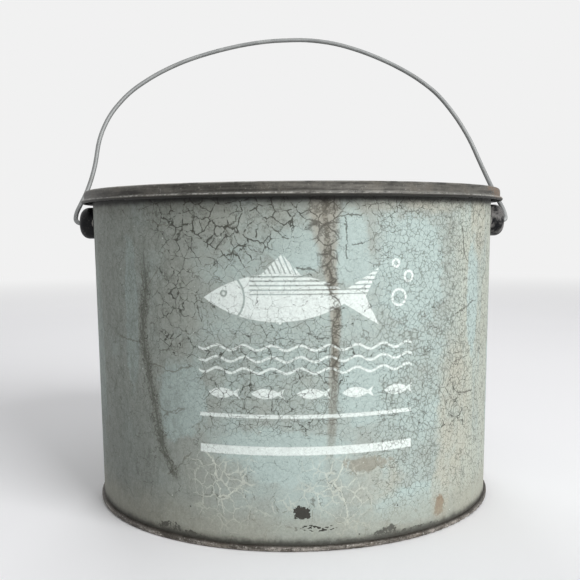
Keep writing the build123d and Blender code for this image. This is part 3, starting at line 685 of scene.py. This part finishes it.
    def add_rust_and_chips(self):
        """Rust, a dull film low on the wall, chips, dark specks and pale flecks."""
        graph, along, height = self.graph, self.along, self.height
        rust = spot(along + self.jag_a, height + self.jag_b, *RUST_SPOT) + (self.mottle - 0.5) * 1.6
        rust = rust.rise(1.05, 0.70)
        wash = spot(along, height, *RUST_WASH) + (self.mottle - 0.5) * 3.0
        graph.tint(wash.rise(1.05, 0.75) * 0.5, 124, 116, 100)
        graph.tint(rust * 0.8, 136, 104, 66)
        graph.tint(rust * self.grain.rise(0.46, 0.54) * 0.8, 98, 64, 38)
        low_film = (height + (self.clouds - 0.5) * 24.0).rise(30, 10)
        graph.tint(low_film * 0.6, 144, 143, 130)
        corner = graph.noise(1.8, 2, 0.6, seed=12)
        chip = abs(along - CHIP[0]).most(abs(height - CHIP[1]) * 1.3) + (corner - 0.5) * 8.0
        nicks = graph.noise(1.6, 2, 0.5, place=graph.stretched(0.6, 0.6, 1.4), seed=13).rise(0.57, 0.60)
        nicks = nicks * spot(along, height, *NICKS).rise(1.0, 0.8)
        self.chips = chip.rise(4.3, 4.0).most(nicks)
        dots = graph.cells(7.0)
        dot = Signal(graph, dots.outputs["Distance"]).rise(0.085, 0.06)
        dot = dot * graph.cell_tone(dots).rise(0.80, 0.82) * height.rise(38, 22)
        graph.tint(self.chips.most(dot * 0.8), 50, 49, 44)
        flecks = graph.noise(1.9, 1, 0.5, seed=20).rise(0.775, 0.80)
        graph.tint(flecks * 0.7, 216, 224, 216)

    def add_dirt(self):
        """Dirt and painted shade under the cover, a painted shadow line right under it, dirt above the
        bottom seam and along the upright one, then a fine grain.
        """
        graph, along, height = self.graph, self.along, self.height
        clouds, mottle, broken, grain = self.clouds, self.mottle, self.broken, self.grain
        # Partly dirt and partly painted shade, darkening the wall towards the cover.
        under_cover_dirt_and_shade = (height + (clouds - 0.5) * 8.0).rise(172, 187)
        graph.tint(under_cover_dirt_and_shade * 0.36, 102, 99, 89)
        # Painted shadow: a near-black line right under the cover's lip.
        shadow_line = (height + (broken - 0.5) * 3.0).rise(181.5, 185)
        graph.tint(shadow_line * 0.92, 28, 27, 25)
        soft_dirt = (height + (clouds - 0.5) * 7.0).rise(10.5, 5.0)
        graph.tint(soft_dirt * 0.25, 88, 84, 74)
        smudge = blotches_at(along + self.jag_a, height, SEAM_SMUDGES, broken)
        smudge = (smudge + (mottle + grain - 1.0) * 2.0).rise(0.70, 1.05)
        seam_dirt = (height + (mottle - 0.5) * 4.0).rise(7.6, 3.7)
        graph.tint(seam_dirt.most(smudge * 0.9) * 0.85, 38, 35, 30)
        from_seam = HALF_ROUND_MM - abs(along)
        graph.tint(from_seam.near(3.3, 0.2, 0.9) * 0.6, 70, 64, 52)
        seam_rust = (from_seam + mottle * 12.0).rise(14, 4) * (grain + clouds).rise(0.94, 1.10)
        graph.tint(seam_rust * 0.5, 116, 90, 66)
        fine = graph.noise(0.8, 2, 0.6, seed=14)
        graph.brighten(grain * 0.60 + fine * 0.36 + mottle * 0.28 + 0.38)

    def finish(self):
        """Bare zinc inside the wall and in the curl, then the paint's relief and roughness."""
        graph, clouds = self.graph, self.clouds
        wall_line = self.height.rise(0, WALL_HEIGHT_MM) * INSIDE_FLARE_MM + INSIDE_FOOT_R_MM
        inside = (graph.radius() - wall_line).rise(0.0, -0.2)
        zinc = graph.mix(graph.noise(14, 3, 0.6, seed=15), srgb(120, 124, 124), srgb(158, 162, 162))
        graph.color = graph.mix(inside, graph.color, zinc)
        mosaic_lift = self.mosaic_gap.rise(0.9, 0.0) * self.mosaic_zone * 0.07
        jag_lift = self.jag_gap.rise(1.8, 0.0) * self.jag_zone * 0.16
        groove = self.mosaic * 0.08 + self.dark_cracks * 0.26 + self.left_dark * 0.25
        relief = mosaic_lift + jag_lift - groove - self.chips * 0.25
        relief = relief + self.grain * 0.05 + clouds * 0.5 + self.pale_line * 0.1
        graph.bump(relief * (1.0 - inside), 0.6)
        rough = 0.52 + clouds * 0.16 + self.dark_cracks * 0.15 + self.stain * 0.10 - self.print_mask * 0.04
        return graph.finish(inside * 0.75, rough, Specular_IOR_Level=0.35)


def make_pail_paint():
    paint = PailPaint()
    paint.lay_ground()
    paint.crackle()
    paint.draw_long_cracks()
    paint.lay_band()
    paint.print_design()
    paint.draw_pale_cracks()
    paint.add_rust_and_chips()
    paint.add_dirt()
    return paint.finish()


# Metals


def make_cover_metal():
    """Dark tarnished sheet, streaked round the skirt, with a bright lip that is partly worn and partly a
    painted highlight, painted shade under the lip, and some rust.
    """
    graph = Graph("cover_metal")
    along = on_wall(graph)[0]
    radius = graph.radius()
    skirt = radius.rise(*SKIRT_R_MM)
    streaks = graph.noise(2.2, 5, 0.75, place=graph.stretched(0.06, 0.06, 1.0), seed=21)
    clouds = graph.noise(13, 5, 0.7, seed=22)
    specks = graph.noise(1.3, 3, 0.75, seed=23)

    # Skirt
    tone = Signal(graph, graph.mix(skirt, clouds, streaks * 0.6 + clouds * 0.4))
    graph.color = graph.mix(tone.rise(0.38, 0.62), srgb(42, 40, 36), srgb(98, 96, 90))
    graph.tint(clouds.rise(0.48, 0.70) * 0.45, 80, 72, 61)
    graph.tint(specks.rise(0.54, 0.66) * 0.45, 38, 36, 32)
    graph.tint(specks.rise(0.40, 0.33) * 0.45, 150, 148, 140)
    skirt_color = graph.color

    # Deck
    facet = graph.cell_tone(graph.cells(6.5, graph.shifted(4.0, 2.0, seed=25)))
    graph.color = graph.mix(facet * 0.35 + clouds * 0.6, srgb(98, 98, 93), srgb(160, 160, 154))
    stained = graph.noise(30, 5, 0.65, seed=26).rise(0.48, 0.62)
    graph.tint(stained * 0.6, 108, 100, 86)
    corner_dirt = radius.near(DECK_CORNER_R_MM, 1.5, 8).most(radius.near(NECK_R_MM, 2, 9))
    graph.tint(corner_dirt * (clouds + 0.3).rise(0.6, 0.9) * 0.7, 78, 70, 57)
    graph.tint((specks + stained * 0.06).rise(0.61, 0.67) * 0.7, 112, 84, 60)

    # Worn edges, lip with its painted highlight, rust, and painted shade under the lip
    graph.color = graph.mix(skirt, graph.color, skirt_color)
    edge_worn = graph.noise(9, 3, 0.6, seed=24).rise(0.42, 0.56)
    top_edge = graph.z.rise(COVER_TOP_MM - 1.0, COVER_TOP_MM - 0.2) * skirt * edge_worn
    graph.tint(top_edge * 0.4, 160, 159, 152)
    lip = graph.z.near(LIP_Z_MM, 0.25, 0.95) * radius.rise(*LIP_R_MM)
    # Painted highlight: the lip's bright line, partly bare worn metal and partly a highlight, brighter
    # towards the right.
    rubbed_and_highlit = (specks * 1.2 + edge_worn * 0.10 + along.rise(-90, 60) * 0.16).rise(0.62, 0.82)
    graph.tint(lip * (rubbed_and_highlit * 0.62 + 0.03), 206, 206, 200)
    rust = streaks * 0.5 + clouds * 0.5 + along.near(COVER_RUST_ALONG_MM, 10, 52) * 0.34 * skirt
    graph.tint(rust.rise(0.72, 0.92) * specks.rise(0.40, 0.54) * 0.8, 112, 86, 62)
    # Painted shade: the underside of the lip, below these heights, made near black.
    graph.tint(graph.z.rise(*SHADED_UNDER_LIP_Z_MM) * skirt * 0.85, 26, 25, 22)
    graph.bump(streaks * 0.08 + specks * 0.06 + clouds * 0.35, 0.6)
    return graph.finish(0.45 + lip * 0.2, 0.42 + clouds * 0.25 - lip * 0.1)


def make_zinc(name, dark, light, seed, spangle=9.0, wear=1.0, metal=0.75, rough=0.38):
    """Dull galvanised metal with soft spangles, and darker stains and pits by its wear."""
    graph = Graph(name)
    facet = graph.cell_tone(graph.cells(spangle, graph.shifted(5.0, 2.0, seed=seed)))
    stains = graph.noise(18, 4, 0.65, seed=seed + 1)
    grain = graph.noise(1.2, 3, 0.7, seed=seed + 2)
    graph.color = graph.mix(facet * 0.45 + grain * 0.5, srgb(*dark), srgb(*light))
    graph.tint(stains.rise(0.52, 0.72) * 0.6 * wear, 110, 103, 91)
    graph.tint(grain.rise(0.60, 0.72) * 0.4 * wear, 84, 80, 72)
    graph.bump(grain * 0.06 * wear + stains * 0.15, 0.5)
    return graph.finish(metal, rough + facet * 0.12 + stains * 0.15)


def make_hem_metal():
    """The bottom seam: worn metal, pale where rubbed and dark in its groove."""
    graph = Graph("hem_metal")
    wear = graph.noise(4, 5, 0.75, place=graph.stretched(0.35, 0.35, 1.0), seed=31)
    specks = graph.noise(1.2, 3, 0.75, seed=32)
    clouds = graph.noise(16, 4, 0.65, seed=33)
    graph.color = graph.mix(wear.rise(0.38, 0.62), srgb(74, 69, 62), srgb(152, 147, 140))
    graph.tint(clouds.rise(0.48, 0.66) * 0.35, 110, 98, 84)
    graph.tint(specks.rise(0.52, 0.62) * 0.75, 52, 48, 42)
    graph.tint(specks.rise(0.42, 0.34) * 0.7, 208, 205, 200)
    graph.tint(graph.z.rise(2.2, 3.0) * 0.75, 42, 38, 32)
    graph.bump(wear * 0.15 + specks * 0.12, 0.6)
    return graph.finish(0.4, 0.5 + wear * 0.15)


def make_ear_enamel():
    """Black enamel with a soft sheen, worn to grey, with more grey on the right that is partly wear and
    partly a painted highlight from the light on the right.
    """
    graph = Graph("ear_enamel")
    wear = graph.noise(5, 4, 0.65, seed=41)
    specks = graph.noise(1.0, 2, 0.6, seed=42)
    # Painted highlight: the grey grows towards the right, partly wear and partly the light falling from
    # the right.
    highlit_right = graph.x.rise(-50, 50)
    worn = wear.rise(0.42, 0.66) * (highlit_right * 0.85 + 0.05)
    graph.color = graph.mix(worn, srgb(5, 6, 10), srgb(112, 110, 108))
    graph.tint(specks.rise(0.62, 0.70) * 0.5, 126, 122, 114)
    graph.bump(wear * 0.2 + specks * 0.04, 0.5)
    return graph.finish(0.0, 0.30 + wear * 0.2, Specular_IOR_Level=0.18)


def dress_frame():
    """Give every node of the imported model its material."""
    looks = {
        "pail_paint": make_pail_paint(),
        "hem_metal": make_hem_metal(),
        "cover_metal": make_cover_metal(),
        "galvanised_sheet": make_zinc("galvanised_sheet", (128, 132, 132), (184, 188, 187), 51),
        "galvanised_wire": make_zinc(
            "galvanised_wire",
            (118, 120, 120),
            (160, 162, 161),
            61,
            spangle=16.0,
            wear=0.25,
            metal=0.55,
            rough=0.48,
        ),
        "ear_enamel": make_ear_enamel(),
        "rivet_metal": make_zinc("rivet_metal", (120, 118, 112), (172, 170, 164), 71, spangle=3.0),
        "spring_steel": make_zinc("spring_steel", (80, 80, 82), (124, 124, 126), 81, spangle=2.0),
    }
    for part in frame["record"]["subparts"]:
        node = frame["nodes"][part["node"]]
        node.data.materials.clear()
        node.data.materials.append(looks[part["material_slot"]])
    return looks


# Lid spring


def tube(name, points, wire_r, sides):
    """A round wire along points, closed at both ends."""
    mesh = bmesh.new()
    across = Vector((1.0, 0.0, 0.0))
    rings = []
    for number, point in enumerate(points):
        before = points[max(number - 1, 0)]
        after = points[min(number + 1, len(points) - 1)]
        heading = (after - before).normalized()
        across = (across - heading * across.dot(heading)).normalized()
        up = heading.cross(across)
        ring = []
        for side in range(sides):
            turn = side / sides * 2 * math.pi
            offset = across * math.cos(turn) + up * math.sin(turn)
            ring.append(mesh.verts.new(point + offset * wire_r))
        rings.append(ring)
    for first, second in zip(rings, rings[1:]):
        for side in range(sides):
            following = (side + 1) % sides
            mesh.faces.new((first[side], first[following], second[following], second[side]))
    mesh.faces.new(rings[0][::-1])
    mesh.faces.new(rings[-1])
    data = bpy.data.meshes.new(name)
    mesh.to_mesh(data)
    mesh.free()
    for polygon in data.polygons:
        polygon.use_smooth = len(polygon.vertices) == 4
    piece = bpy.data.objects.new(name, data)
    bpy.context.scene.collection.objects.link(piece)
    return piece


def make_lid_spring(material):
    """The wound spring round the hinge pin, with a straight leg at each end, in place of the model's own
    lid_spring.
    """
    steps_per_turn = 40
    steps = int(COIL_TURNS * steps_per_turn)
    half_length = COIL_PITCH * COIL_TURNS / 2
    coil = []
    for step in range(steps + 1):
        turn = step / steps_per_turn * 2 * math.pi
        x = half_length - COIL_PITCH * step / steps_per_turn
        coil.append(Vector((x, PIN_Y + COIL_R * math.cos(turn), PIN_Z + COIL_R * math.sin(turn))))
    first_heading = (coil[1] - coil[0]).normalized()
    last_heading = (coil[-1] - coil[-2]).normalized()
    foot = coil[0] - first_heading * ((coil[0].z - SPRING_FOOT_Z) / first_heading.z)
    legs = 8
    down = [foot.lerp(coil[0], step / legs) for step in range(legs)]
    over = [coil[-1] + last_heading * (SPRING_LEG * (step + 1) / legs) for step in range(legs)]
    points = [point * MM for point in down + coil + over]
    spring = tube("wound_spring", points, SPRING_WIRE_R * MM, sides=12)
    spring.data.materials.append(material)
    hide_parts("lid_spring")
    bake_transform(spring)


# Stage


def shown_to_eye(tree):
    """1 for what the camera sees, straight, in a reflection or through glass, and 0 for other light."""
    paths = tree.nodes.new("ShaderNodeLightPath")
    level = paths.outputs["Is Camera Ray"]
    for name in ("Is Glossy Ray", "Is Transmission Ray"):
        highest = tree.nodes.new("ShaderNodeMath")
        highest.operation = "MAXIMUM"
        tree.links.new(level, highest.inputs[0])
        tree.links.new(paths.outputs[name], highest.inputs[1])
        level = highest.outputs[0]
    return level


def make_stage():
    """A plain pale floor that fades into the world's white far from the bucket."""
    graph = Graph("stage_grey")
    graph.color = graph.mix(graph.noise(400, 2, 0.5, seed=91), srgb(240, 240, 242), srgb(245, 245, 247))
    material = graph.finish(0.0, 0.75)
    glow = graph.add("ShaderNodeEmission")
    glow.inputs["Strength"].default_value = SHOWN_LEVEL
    far = graph.add("ShaderNodeMixShader")
    share = graph.radius().rise(*FLOOR_FADE_MM) * Signal(graph, shown_to_eye(graph.tree))
    graph.plug(far.inputs[0], share)
    graph.tree.links.new(graph.shader.outputs[0], far.inputs[1])
    graph.tree.links.new(glow.outputs[0], far.inputs[2])
    graph.tree.links.new(far.outputs[0], graph.tree.nodes["Material Output"].inputs["Surface"])
    ends = (-FLOOR_HALF_WIDTH, FLOOR_HALF_WIDTH)
    corners = [(x, y, 0.0) for x in ends for y in ends]
    mesh = bpy.data.meshes.new("stage")
    mesh.from_pydata(corners, [], [(0, 2, 3, 1)])
    mesh.materials.append(material)
    stage = bpy.data.objects.new("stage", mesh)
    bpy.context.scene.collection.objects.link(stage)


def add_lamp(name, azimuth, elevation, distance, size, level):
    """A square area lamp that faces the bucket.

    azimuth runs in degrees from the front towards +X. A white surface that faces the lamp looks
    as bright as level.
    """
    turn = math.radians(azimuth)
    lift = math.radians(elevation)
    away = Vector((math.sin(turn) * math.cos(lift), -math.cos(turn) * math.cos(lift), math.sin(lift)))
    data = bpy.data.lights.new(name, "AREA")
    data.shape = "SQUARE"
    data.size = size
    data.energy = level * (math.pi * distance) ** 2
    lamp = bpy.data.objects.new(name, data)
    lamp.location = LAMP_TARGET + away * distance
    lamp.rotation_euler = away.to_track_quat("Z", "Y").to_euler()
    bpy.context.scene.collection.objects.link(lamp)


def light_scene():
    """Soft studio light, stronger from the right, as on the photographed wall."""
    world = bpy.data.worlds.new("world")
    bpy.context.scene.world = world
    world.use_nodes = True
    background = world.node_tree.nodes["Background"]
    background.inputs["Color"].default_value = (1.0, 1.0, 1.0, 1.0)
    level = world.node_tree.nodes.new("ShaderNodeMath")
    level.operation = "MULTIPLY_ADD"
    level.inputs[1].default_value = SHOWN_LEVEL - WORLD_LEVEL
    level.inputs[2].default_value = WORLD_LEVEL
    world.node_tree.links.new(shown_to_eye(world.node_tree), level.inputs[0])
    world.node_tree.links.new(level.outputs[0], background.inputs["Strength"])
    for lamp in LAMPS:
        add_lamp(*lamp)


def add_camera():
    """The photograph's camera."""
    data = bpy.data.cameras.new("camera")
    data.sensor_width = SENSOR
    data.lens = SENSOR * FOCAL_PIXELS / PHOTO_SIDE
    data.clip_start = 0.01
    camera = bpy.data.objects.new("camera", data)
    bpy.context.scene.collection.objects.link(camera)
    level = Euler((math.pi / 2 - CAMERA_DOWN, 0.0, 0.0)).to_matrix()
    turned = level @ Matrix.Rotation(CAMERA_ROLL, 3, "Z")
    camera.matrix_world = Matrix.Translation(CAMERA_PLACE) @ turned.to_4x4()
    bpy.context.scene.camera = camera


finishes = dress_frame()
make_lid_spring(finishes["spring_steel"])
make_stage()
light_scene()
add_camera()
bpy.context.scene.view_settings.view_transform = "Standard"
